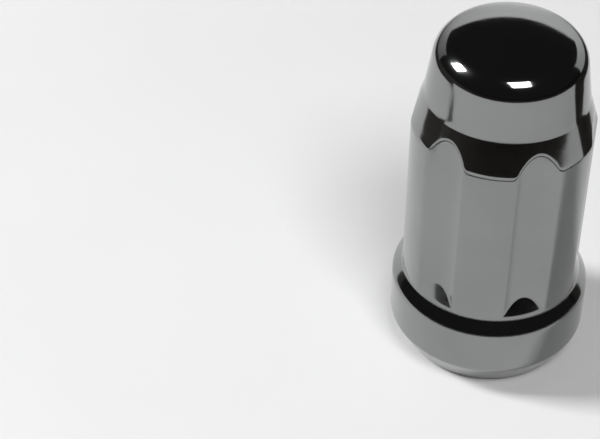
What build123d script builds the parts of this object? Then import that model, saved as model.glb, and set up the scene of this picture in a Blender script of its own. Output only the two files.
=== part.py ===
from build123d import *
from math import radians, sqrt, tan
import os

# Overall sizes, in millimetres and degrees; heights run up from the open end
LENGTH = 42.4  # open end to the top of the dome
BODY_DIAMETER = 20.0  # over the lands of the spline

# Conical seat and flange
SEAT_ANGLE = 60.0  # included angle of the seat
SEAT_HEIGHT = 3.45
FLANGE_STEP = 1.05  # how far the flange stands out from the lands
BAND_HEIGHT = 5.3  # plain band between the seat and the neck
END_CHAMFER = 0.3
SEAT_EDGE_RADIUS = 1.1
BAND_EDGE_RADIUS = 1.1

# Neck, the hollow slope from the flange up to the lands
NECK_ANGLE = 34.0  # of its straight part, from the nut's axis
NECK_RADIUS = 0.8

# Spline: round-bottomed flutes along the body, each ending on a cone just above the neck
FLUTE_COUNT = 6
FLUTE_WIDTH = 4.9  # across its two edges
FLUTE_DEPTH = 0.75  # below the lands
FLUTE_BEVEL = 0.2  # softening of each edge, across the flute
RUNOUT_ANGLE = 18.0  # of the run-out cone, from the nut's axis
RUNOUT_STEP = 0.28  # plain land left between the neck's corner and the cone

# Shoulder, collar and dome
SHOULDER_ANGLE = 17.5  # from the nut's axis
SHOULDER_STEP = 1.2  # lands down to the foot of the collar
SHOULDER_RADIUS = 2.2
COLLAR_HEIGHT = 6.1  # foot to the corner that the dome's edge rounds off
COLLAR_DRAFT = 8.5  # from the nut's axis
DOME_RADIUS = 16.5
DOME_EDGE_RADIUS = 3.0

# Blind tapped bore, left at the thread's minor diameter
THREAD_DIAMETER = 12.0
THREAD_PITCH = 1.5
MOUTH_STEP = 1.6  # countersunk mouth outside the thread's roots
MOUTH_ANGLE = 90.0
CROWN_WALL = 9.0  # solid metal from the drill point to the top of the dome
DRILL_POINT_ANGLE = 118.0

# Radii of the turned outline
body_radius = BODY_DIAMETER / 2
flange_radius = body_radius + FLANGE_STEP
seat_slope = tan(radians(SEAT_ANGLE / 2))
end_radius = flange_radius - SEAT_HEIGHT * seat_slope
collar_radius = body_radius - SHOULDER_STEP
dome_corner_radius = collar_radius - COLLAR_HEIGHT * tan(radians(COLLAR_DRAFT))

# Its heights: the lower end from the open end, the upper end down from the top of the dome
neck_rise = 1 / tan(radians(NECK_ANGLE))
band_z = SEAT_HEIGHT + BAND_HEIGHT
neck_z = band_z + FLANGE_STEP * neck_rise
dome_corner_z = LENGTH - DOME_RADIUS + sqrt(DOME_RADIUS**2 - dome_corner_radius**2)
collar_z = dome_corner_z - COLLAR_HEIGHT
shoulder_z = collar_z - SHOULDER_STEP / tan(radians(SHOULDER_ANGLE))

# A flute's section is an arc through its two edges and its root
root_radius = body_radius - FLUTE_DEPTH
edge_drop = body_radius - sqrt(body_radius**2 - (FLUTE_WIDTH / 2) ** 2)
flute_sag = FLUTE_DEPTH - edge_drop
flute_radius = ((FLUTE_WIDTH / 2) ** 2 + flute_sag**2) / (2 * flute_sag)
flute_centre = root_radius + flute_radius

# A flat across the flute bevels both edges
bevel_half = FLUTE_WIDTH / 2 + FLUTE_BEVEL
bevel_x = sqrt(body_radius**2 - bevel_half**2)

# Its run-out cone, from above the neck's corner up to the root
runout_slope = tan(radians(RUNOUT_ANGLE))
foot_radius = body_radius + RUNOUT_STEP * runout_slope
runout_z = neck_z + RUNOUT_STEP + FLUTE_DEPTH / runout_slope

# Bore
minor_radius = THREAD_DIAMETER / 2 - 5 / 16 * sqrt(3) * THREAD_PITCH
mouth_radius = THREAD_DIAMETER / 2 + MOUTH_STEP
mouth_depth = (mouth_radius - minor_radius) / tan(radians(MOUTH_ANGLE / 2))
drill_tip_z = LENGTH - CROWN_WALL
bore_depth = drill_tip_z - minor_radius / tan(radians(DRILL_POINT_ANGLE / 2))

# Cutter of one flute: a round bar and a flat along the body, less the run-out cone at its foot
with BuildPart() as flute_cutter:
    with BuildSketch(Plane.XY.offset(neck_z)):
        with Locations((flute_centre, 0)):
            Circle(flute_radius)
        with Locations((bevel_x, 0)):
            Rectangle(flute_radius, 2 * flute_radius, align=(Align.MIN, Align.CENTER))
    extrude(amount=LENGTH - neck_z)
    with BuildSketch(Plane.XZ):
        with BuildLine():
            Polyline((0, neck_z), (foot_radius, neck_z), (root_radius, runout_z), (0, runout_z), close=True)
        make_face()
    revolve(axis=Axis.Z, mode=Mode.SUBTRACT)

with BuildPart() as lug_nut:
    # Turned outline: seat, flange, neck, lands, shoulder, collar and dome
    with BuildSketch(Plane.XZ) as outline:
        with BuildLine():
            FilletPolyline(
                (0, 0),
                (end_radius - END_CHAMFER, 0),
                (end_radius + END_CHAMFER * seat_slope, END_CHAMFER),
                (flange_radius, SEAT_HEIGHT),
                (flange_radius, band_z),
                (body_radius, neck_z),
                (body_radius, shoulder_z),
                (collar_radius, collar_z),
                (dome_corner_radius, dome_corner_z),
                radius=[0, 0, SEAT_EDGE_RADIUS, BAND_EDGE_RADIUS, NECK_RADIUS, SHOULDER_RADIUS, 0],
            )
            RadiusArc((dome_corner_radius, dome_corner_z), (0, LENGTH), -DOME_RADIUS)
            Line((0, LENGTH), (0, 0))
        make_face()
        fillet(outline.vertices().sort_by(Axis.Y)[-2], DOME_EDGE_RADIUS)
    revolve(axis=Axis.Z)

    # Flutes, open at the shoulder
    with PolarLocations(0, FLUTE_COUNT):
        add(flute_cutter.part, mode=Mode.SUBTRACT)

    # Bore with its countersunk mouth and drill point
    with BuildSketch(Plane.XZ):
        with BuildLine():
            Polyline(
                (0, 0),
                (mouth_radius, 0),
                (minor_radius, mouth_depth),
                (minor_radius, bore_depth),
                (0, drill_tip_z),
                close=True,
            )
        make_face()
    revolve(axis=Axis.Z, mode=Mode.SUBTRACT)

lug_nut.part.label = "lug_nut"
os.makedirs("parts", exist_ok=True)
export_step(lug_nut.part, "parts/lug_nut.step")
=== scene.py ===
import math

import bpy
import numpy as np
from mathutils import Matrix, Vector


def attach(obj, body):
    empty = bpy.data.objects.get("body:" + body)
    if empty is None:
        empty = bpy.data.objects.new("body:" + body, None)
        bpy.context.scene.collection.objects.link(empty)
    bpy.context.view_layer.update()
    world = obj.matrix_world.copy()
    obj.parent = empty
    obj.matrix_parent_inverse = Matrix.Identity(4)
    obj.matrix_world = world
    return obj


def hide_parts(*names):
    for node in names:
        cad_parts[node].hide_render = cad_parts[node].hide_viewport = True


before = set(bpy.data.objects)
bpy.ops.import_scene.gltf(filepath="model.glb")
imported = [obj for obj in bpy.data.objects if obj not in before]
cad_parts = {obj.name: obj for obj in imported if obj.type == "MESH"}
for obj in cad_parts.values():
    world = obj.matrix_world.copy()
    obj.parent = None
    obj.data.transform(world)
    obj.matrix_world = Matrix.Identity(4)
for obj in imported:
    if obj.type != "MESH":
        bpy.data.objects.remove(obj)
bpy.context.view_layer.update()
scene = bpy.context.scene
MM = 0.001


# The nut's outline and bore, in millimetres, with the sizes of the CAD part.
LENGTH = 42.4
BODY_R = 10.0
FLANGE_R = 11.05
SEAT_SLOPE = math.tan(math.radians(30))
SEAT_Z = 3.45
SEAT_EDGE_R = 1.1
END_CHAMFER = 0.3
END_R = FLANGE_R - SEAT_Z * SEAT_SLOPE
BAND_Z = SEAT_Z + 5.3
BAND_EDGE_R = 1.1
NECK_ANGLE = math.radians(34)
NECK_R = 0.8
NECK_Z = BAND_Z + (FLANGE_R - BODY_R) / math.tan(NECK_ANGLE)
SHOULDER_STEP = 1.2
SHOULDER_ANGLE = math.radians(17.5)
SHOULDER_R = 2.2
COLLAR_R = BODY_R - SHOULDER_STEP
COLLAR_HEIGHT = 6.1
COLLAR_DRAFT = math.radians(8.5)
DOME_R = 16.5
DOME_EDGE_R = 3.0
DOME_CORNER_R = COLLAR_R - COLLAR_HEIGHT * math.tan(COLLAR_DRAFT)
DOME_CORNER_Z = LENGTH - DOME_R + math.sqrt(DOME_R**2 - DOME_CORNER_R**2)
COLLAR_Z = DOME_CORNER_Z - COLLAR_HEIGHT
SHOULDER_Z = COLLAR_Z - SHOULDER_STEP / math.tan(SHOULDER_ANGLE)

FLUTES = 6
FLUTE_DEPTH = 0.75
FLUTE_HALF = 2.45
BEVEL_HALF = FLUTE_HALF + 0.2
ROOT_R = BODY_R - FLUTE_DEPTH
FLUTE_SAG = FLUTE_DEPTH - (BODY_R - math.sqrt(BODY_R**2 - FLUTE_HALF**2))
FLUTE_R = (FLUTE_HALF**2 + FLUTE_SAG**2) / (2 * FLUTE_SAG)
FLUTE_X = ROOT_R + FLUTE_R
BEVEL_X = math.sqrt(BODY_R**2 - BEVEL_HALF**2)
RUNOUT_SLOPE = math.tan(math.radians(18))
RUNOUT_STEP = 0.28
RUNOUT_Z = NECK_Z + RUNOUT_STEP + FLUTE_DEPTH / RUNOUT_SLOPE
FLUTE_EASE = 0.05  # how wide the edges within a flute are softened
LAND_EASE = 0.08  # the same where a flute meets the lands and the shoulder

PITCH = 1.5
MAJOR_R = 6.0
MINOR_R = MAJOR_R - 5 / 16 * math.sqrt(3) * PITCH
MOUTH_R = MAJOR_R + 1.6
DRILL_TIP_Z = LENGTH - 9.0
DRILL_SLOPE = math.tan(math.radians(59))
BORE_Z = DRILL_TIP_Z - MINOR_R / DRILL_SLOPE
THREAD_END_Z = 27.6
THREAD_FADE = 2.2  # the thread's depth fades out over this height
BARE_Z = 2.0  # the plating ends this far inside the mouth


def rounded(before, corner, after, radius, count):
    """Points of the arc that rounds a corner of the outline."""
    p, a, b = Vector(corner), Vector(before), Vector(after)
    u, v = (a - p).normalized(), (b - p).normalized()
    half = u.angle(v) / 2
    centre = p + (u + v).normalized() * (radius / math.sin(half))
    reach = radius / math.tan(half)
    first, last = p + u * reach - centre, p + v * reach - centre
    turn = first.angle_signed(last)
    return [tuple(centre + Matrix.Rotation(-turn * i / (count - 1), 2) @ first) for i in range(count)]


def run(start, end, step):
    """Points from start to end at about the given step, without the two ends."""
    count = max(1, round(math.dist(start, end) / step))
    return [(start[0] + (end[0] - start[0]) * i / count, start[1] + (end[1] - start[1]) * i / count)
            for i in range(1, count)]


def outline_rows():
    """Radius and height of each ring of the outside, from the bore's mouth to just below the dome's top."""
    foot = (END_R - END_CHAMFER, 0.0)
    rim = (END_R + END_CHAMFER * SEAT_SLOPE, END_CHAMFER)
    seat, band, neck = (FLANGE_R, SEAT_Z), (FLANGE_R, BAND_Z), (BODY_R, NECK_Z)
    shoulder, collar = (BODY_R, SHOULDER_Z), (COLLAR_R, COLLAR_Z)
    seat_edge = rounded(rim, seat, band, SEAT_EDGE_R, 9)
    band_edge = rounded(seat, band, neck, BAND_EDGE_R, 9)
    neck_arc = rounded(band, neck, shoulder, NECK_R, 9)
    runout_top = (BODY_R, RUNOUT_Z + 0.4)
    shoulder_arc = rounded(neck, shoulder, collar, SHOULDER_R, 10)
    # The dome's edge touches both the collar's slope and the dome's own sphere
    slope = Vector((math.cos(COLLAR_DRAFT), math.sin(COLLAR_DRAFT)))
    ball = Vector((0.0, LENGTH - DOME_R))
    reach = Vector(collar).dot(slope) - DOME_EDGE_R - ball.dot(slope)
    along = math.sqrt((DOME_R - DOME_EDGE_R) ** 2 - reach**2)
    centre = ball + slope * reach + Vector((-slope.y, slope.x)) * along
    crown = math.atan2(centre.y - ball.y, centre.x)
    dome_edge = [tuple(centre + DOME_EDGE_R * Vector((math.cos(a), math.sin(a))))
                 for a in np.linspace(COLLAR_DRAFT, crown, 26)]
    dome = [tuple(ball + DOME_R * Vector((math.cos(a), math.sin(a))))
            for a in np.linspace(crown, math.pi / 2, 24)[1:-1]]
    rows = [(MOUTH_R, 0.0)] + run((MOUTH_R, 0.0), foot, 0.35) + [foot, rim]
    rows += run(rim, seat_edge[0], 0.5) + seat_edge
    rows += run(seat_edge[-1], band_edge[0], 0.7) + band_edge
    rows += run(band_edge[-1], neck_arc[0], 0.3) + neck_arc
    rows += run(neck_arc[-1], runout_top, 0.1) + [runout_top]
    rows += run(runout_top, shoulder_arc[0], 1.6) + shoulder_arc
    rows += run(shoulder_arc[-1], collar, 0.115) + [collar]
    rows += run(collar, dome_edge[0], 0.7) + dome_edge + dome
    return np.array(rows)


def flute_radius(angle, height):
    """How far from the axis the nearest flute's surface lies, at these angles and heights."""
    step = 2 * math.pi / FLUTES
    off = (angle + step / 2) % step - step / 2
    side = np.minimum(np.abs(FLUTE_X * np.sin(off)), FLUTE_R)
    groove = FLUTE_X * np.cos(off) - np.sqrt(FLUTE_R**2 - side**2)
    cut = eased_min(groove, BEVEL_X / np.cos(off), FLUTE_EASE)
    cone = ROOT_R + (RUNOUT_Z - height) * RUNOUT_SLOPE
    return -eased_min(-cut, -cone, FLUTE_EASE)


def eased_min(a, b, width):
    """The lesser of two radii, with the edge between them softened."""
    blend = np.maximum(width - np.abs(a - b), 0) / width
    return np.minimum(a, b) - blend**2 * width / 4


def column_angles():
    """Angles of the outside's columns, close together at the flutes' edges."""
    half = np.concatenate([
        np.linspace(0, 12.6, 16)[:-1],
        np.linspace(12.6, 16.4, 12)[:-1],
        np.linspace(16.4, 30, 8),
    ])
    sector = np.radians(np.concatenate([-half[:0:-1], half[:-1]]))
    return np.concatenate([sector + 2 * math.pi / FLUTES * i for i in range(FLUTES)])


def outside_rings():
    """Vertices of the outside, ring by ring, with the flutes cut into the turned outline."""
    rows, angle = outline_rows(), column_angles()
    height = np.repeat(rows[:, 1:], len(angle), 1)
    turned = np.repeat(rows[:, :1], len(angle), 1)
    fluted = (height > NECK_Z) & (height < COLLAR_Z)
    cut = flute_radius(angle[None, :], height)
    radius = np.where(fluted, eased_min(turned, cut, LAND_EASE), turned)
    return np.stack([radius * np.cos(angle), radius * np.sin(angle), height], 2)


def thread_depth(phase):
    """Depth of an internal thread below its crests, by the share of a pitch."""
    across = np.abs(phase % 1.0 - 0.5) * PITCH
    flank = np.clip((PITCH * 3 / 8 - across) / (PITCH * 5 / 16), 0, 1)
    return (MAJOR_R - MINOR_R) * flank


def bore_rings():
    """Rings of the bore from its mouth inwards: countersink, right-hand thread, plain end and drill point."""
    angle = np.linspace(0, 2 * math.pi, 96, endpoint=False)
    height = np.concatenate([
        np.linspace(0, 1.4, 8)[1:],
        np.arange(1.5, THREAD_END_Z, 0.11),
        [28.2, BORE_Z - 0.15, BORE_Z],
        np.linspace(BORE_Z, DRILL_TIP_Z, 6)[1:-1],
    ])
    z = np.repeat(height[:, None], len(angle), 1)
    fade = np.clip((THREAD_END_Z - z) / THREAD_FADE, 0, 1)
    depth = thread_depth(z / PITCH - angle[None, :] / (2 * math.pi)) * fade
    radius = np.maximum(MINOR_R + depth, MOUTH_R - z)
    radius = np.where(z > BORE_Z, (DRILL_TIP_Z - z) * DRILL_SLOPE, radius)
    return np.stack([radius * np.cos(angle), radius * np.sin(angle), z], 2)


def quads(first, rows, columns, inward):
    """Faces between the rings of a grid of vertices."""
    index = first + np.arange(rows * columns).reshape(rows, columns)
    right = np.roll(index, -1, 1)
    corners = [index[:-1], right[:-1], right[1:], index[1:]]
    if inward:
        corners.reverse()
    return np.stack(corners, 2).reshape(-1, 4).tolist()


def bridge(ring, inner, points):
    """Triangles between two rings at the mouth that have different numbers of vertices."""
    turn = 2 * math.pi
    a = sorted(ring, key=lambda i: math.atan2(points[i][1], points[i][0]) % turn)
    b = sorted(inner, key=lambda i: math.atan2(points[i][1], points[i][0]) % turn)
    faces, i, j = [], 0, 0

    def at(order, k):
        p = points[order[k % len(order)]]
        return math.atan2(p[1], p[0]) % turn + turn * (k // len(order))

    while i < len(a) or j < len(b):
        corner = (a[i % len(a)], b[j % len(b)])
        if j >= len(b) or (i < len(a) and at(a, i + 1) <= at(b, j + 1)):
            faces.append((corner[0], corner[1], a[(i + 1) % len(a)]))
            i += 1
        else:
            faces.append((corner[0], corner[1], b[(j + 1) % len(b)]))
            j += 1
    return faces


def nut_mesh():
    """The whole nut as one mesh: material 0 is the plate, material 1 the bare bore."""
    outer, inner = outside_rings(), bore_rings()
    rows, columns = outer.shape[:2]
    deep, sides = inner.shape[:2]
    top, start = rows * columns, rows * columns + 1
    points = np.concatenate([
        outer.reshape(-1, 3),
        [[0, 0, LENGTH]],
        inner.reshape(-1, 3),
        [[0, 0, DRILL_TIP_Z]],
    ])
    tip = len(points) - 1
    last = [top - columns + j for j in range(columns)]
    outside = quads(0, rows, columns, False)
    outside += [(last[j], last[(j + 1) % columns], top) for j in range(columns)]
    first_ring = list(range(start, start + sides))
    outside += bridge(range(columns), first_ring, points.tolist())
    bore = quads(start, deep, sides, True)
    end = [tip - sides + j for j in range(sides)]
    bore += [(end[(j + 1) % sides], end[j], tip) for j in range(sides)]
    mesh = bpy.data.meshes.new("nut")
    mesh.from_pydata((points * MM).tolist(), [], outside + bore)
    bare = [points[f[0]][2] > BARE_Z for f in bore]
    slots = np.concatenate([np.zeros(len(outside)), bare]).astype(np.int32)
    mesh.polygons.foreach_set("material_index", slots)
    mesh.polygons.foreach_set("use_smooth", np.ones(len(outside) + len(bore), bool))
    mesh.set_sharp_from_angle(angle=math.radians(34))
    return mesh


class Nodes:
    """A material's node tree, with short calls to add and link nodes."""

    def __init__(self, name):
        self.material = bpy.data.materials.new(name)
        self.material.use_nodes = True
        self.tree = self.material.node_tree
        self.tree.nodes.clear()
        self.shader = self.add("ShaderNodeBsdfPrincipled")
        self.link(self.shader.outputs["BSDF"], self.add("ShaderNodeOutputMaterial").inputs["Surface"])

    def add(self, kind, **values):
        node = self.tree.nodes.new(kind)
        for key, value in values.items():
            setattr(node, key, value)
        return node

    def link(self, source, target):
        self.tree.links.new(source, target)

    def noise(self, scale, detail=3.0, stretch=(1, 1, 1)):
        where = self.add("ShaderNodeTexCoord")
        mapping = self.add("ShaderNodeMapping")
        mapping.inputs["Scale"].default_value = stretch
        self.link(where.outputs["Object"], mapping.inputs["Vector"])
        node = self.add("ShaderNodeTexNoise")
        node.inputs["Scale"].default_value = scale
        node.inputs["Detail"].default_value = detail
        self.link(mapping.outputs["Vector"], node.inputs["Vector"])
        return node.outputs["Fac"]

    def ramp(self, factor, stops):
        node = self.add("ShaderNodeValToRGB")
        while len(node.color_ramp.elements) < len(stops):
            node.color_ramp.elements.new(0.5)
        for element, (place, colour) in zip(node.color_ramp.elements, stops):
            element.position = place
            element.color = (*colour, 1) if isinstance(colour, tuple) else (colour, colour, colour, 1)
        self.link(factor, node.inputs["Fac"])
        return node.outputs["Color"]

    def bump(self, height, distance, strength, below=None):
        node = self.add("ShaderNodeBump")
        node.inputs["Strength"].default_value = strength
        node.inputs["Distance"].default_value = distance
        self.link(height, node.inputs["Height"])
        if below is not None:
            self.link(below, node.inputs["Normal"])
        return node.outputs["Normal"]


def chrome_material():
    n = Nodes("chrome_plate")
    n.shader.inputs["Metallic"].default_value = 1.0
    tone = n.noise(90, 4)
    plate = n.ramp(tone, [(0.3, (0.256, 0.261, 0.260)), (0.7, (0.290, 0.294, 0.293))])
    n.link(plate, n.shader.inputs["Base Color"])
    film = n.noise(260, 5)
    n.link(n.ramp(film, [(0.35, 0.07), (0.75, 0.125)]), n.shader.inputs["Roughness"])
    wave = n.bump(n.noise(170, 2), 0.0001, 0.2)
    forged = n.bump(n.noise(620, 2), 0.00002, 0.35, wave)
    n.link(n.bump(n.noise(5200, 2), 0.000004, 0.2, forged), n.shader.inputs["Normal"])
    return n.material


def steel_material():
    n = Nodes("bare_steel")
    n.shader.inputs["Metallic"].default_value = 1.0
    stain = n.noise(700, 6)
    steel = n.ramp(stain, [(0.3, (0.13, 0.10, 0.075)), (0.55, (0.27, 0.23, 0.19)), (0.8, (0.36, 0.33, 0.30))])
    n.link(steel, n.shader.inputs["Base Color"])
    n.link(n.ramp(n.noise(1500, 4), [(0.3, 0.28), (0.8, 0.5)]), n.shader.inputs["Roughness"])
    n.link(n.bump(n.noise(9000, 2, (1, 1, 6)), 0.00001, 0.4), n.shader.inputs["Normal"])
    return n.material


nut = bpy.data.objects.new("nut", nut_mesh())
nut.data.materials.append(chrome_material())
nut.data.materials.append(steel_material())
scene.collection.objects.link(nut)
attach(nut, "root")
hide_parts("lug_nut")
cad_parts["lug_nut"].data.materials.clear()
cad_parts["lug_nut"].data.materials.append(nut.data.materials[0])


# Studio: a plain pale sweep of floor and backdrop in a dark room, a low bounce card on the camera's side and
# soft boxes. Azimuth 0 is the camera's side and grows to the right.
TURN = Matrix.Rotation(math.radians(5), 4, "Z")


def paper(name, low, high):
    """A matt surface whose colour drifts slightly between two tones."""
    n = Nodes(name)
    n.link(n.ramp(n.noise(30, 3), [(0.3, low), (0.7, high)]), n.shader.inputs["Base Color"])
    n.shader.inputs["Roughness"].default_value = 0.9
    n.shader.inputs["Specular IOR Level"].default_value = 0.1
    return n.material


def stage_piece(name, points, faces, material):
    """A piece of the studio, in the camera's turned frame."""
    mesh = bpy.data.meshes.new(name)
    mesh.from_pydata(points, [], faces)
    mesh.materials.append(material)
    piece = bpy.data.objects.new(name, mesh)
    piece.matrix_world = TURN
    scene.collection.objects.link(piece)


def around(radius, azimuth, height):
    """The point at this distance from the nut's axis, azimuth and height."""
    a = math.radians(azimuth)
    return (radius * math.sin(a), -radius * math.cos(a), height)


def strip(name, turns, low, high, material):
    """A curved strip over these azimuths, between two edges that give a radius and a height."""
    points = [around(edge(a)[0], a, edge(a)[1]) for a in turns for edge in (low, high)]
    faces = [(2 * i, 2 * i + 2, 2 * i + 3, 2 * i + 1) for i in range(len(turns) - 1)]
    stage_piece(name, points, faces, material)


def studio():
    pale = paper("pale_floor", (0.88, 0.88, 0.88), (0.90, 0.90, 0.90))
    dark = paper("dark_room", (0.015, 0.015, 0.015), (0.05, 0.044, 0.038))
    turns = [360 * i / 144 for i in range(144)]
    # The floor is a sheet with a round front, and the card's inner edge swings out at the left
    front = [around(0.079, a, 0) for a in np.linspace(-90, 90, 61)]
    sweep = [(x - 0.02, y + 0.015, z) for x, y, z in front]
    sweep += [(0.059, 0.42, 0), (-0.099, 0.42, 0)]
    stage_piece("floor", sweep, [tuple(range(len(sweep)))], pale)
    stage_piece("ground", [around(1.5, a, -0.002) for a in turns], [tuple(range(144))], dark)
    strip(
        "bounce",
        np.linspace(-76, 100, 89),
        lambda a: (0.054 + 0.0011 * max(0, -52 - a), 0.0065),
        lambda a: (0.13, 0.0065),
        pale,
    )
    strip("backdrop", np.linspace(115, 245, 60), lambda a: (0.42, -0.002), lambda a: (0.42, 0.2), pale)


def lamp(name, place, aim, size, power):
    """A soft box at a place given as radius, azimuth and height, aimed at another such place."""
    data = bpy.data.lights.new(name, "AREA")
    data.shape = "RECTANGLE"
    data.size, data.size_y = size
    data.energy = power
    box = bpy.data.objects.new(name, data)
    start = Vector(around(*place))
    turn = (start - Vector(around(*aim))).to_track_quat("Z", "Y").to_matrix().to_4x4()
    box.matrix_world = TURN @ Matrix.Translation(start) @ turn
    scene.collection.objects.link(box)


studio()
lamp("key_left", (0.645, -91, 0.485), (0, 0, 0.02), (0.19, 0.27), 5.6)
lamp("key_right", (0.28, 24, 0.435), (0, 0, 0.02), (0.20, 0.17), 1.2)
lamp("back_light", (0.2, 180, 0.3), (0.42, 180, 0.21), (0.3, 0.06), 0.5)

world = bpy.data.worlds.new("room")
world.use_nodes = True
world.node_tree.nodes["Background"].inputs["Color"].default_value = (0.02, 0.02, 0.021, 1)
world.node_tree.nodes["Background"].inputs["Strength"].default_value = 1.0
scene.world = world

# Camera, fitted to the nut's outline in the photograph's 600 by 439 frame.
camera = bpy.data.objects.new("camera", bpy.data.cameras.new("camera"))
right = (0.989220, 0.146320, 0.005813)
up = (-0.101346, 0.655434, 0.748422)
forward = (-0.105699, 0.740944, -0.663197)
aim = Matrix([(right[i], up[i], -forward[i], 0) for i in range(3)] + [(0, 0, 0, 1)])
camera.matrix_world = TURN @ Matrix.Translation((0, -0.1532289, 0.1504583)) @ aim
camera.data.sensor_width = 36
camera.data.lens = 109.021
camera.data.clip_start = 0.005
camera.data.clip_end = 20
scene.collection.objects.link(camera)
scene.camera = camera
scene.view_settings.view_transform = "Standard"
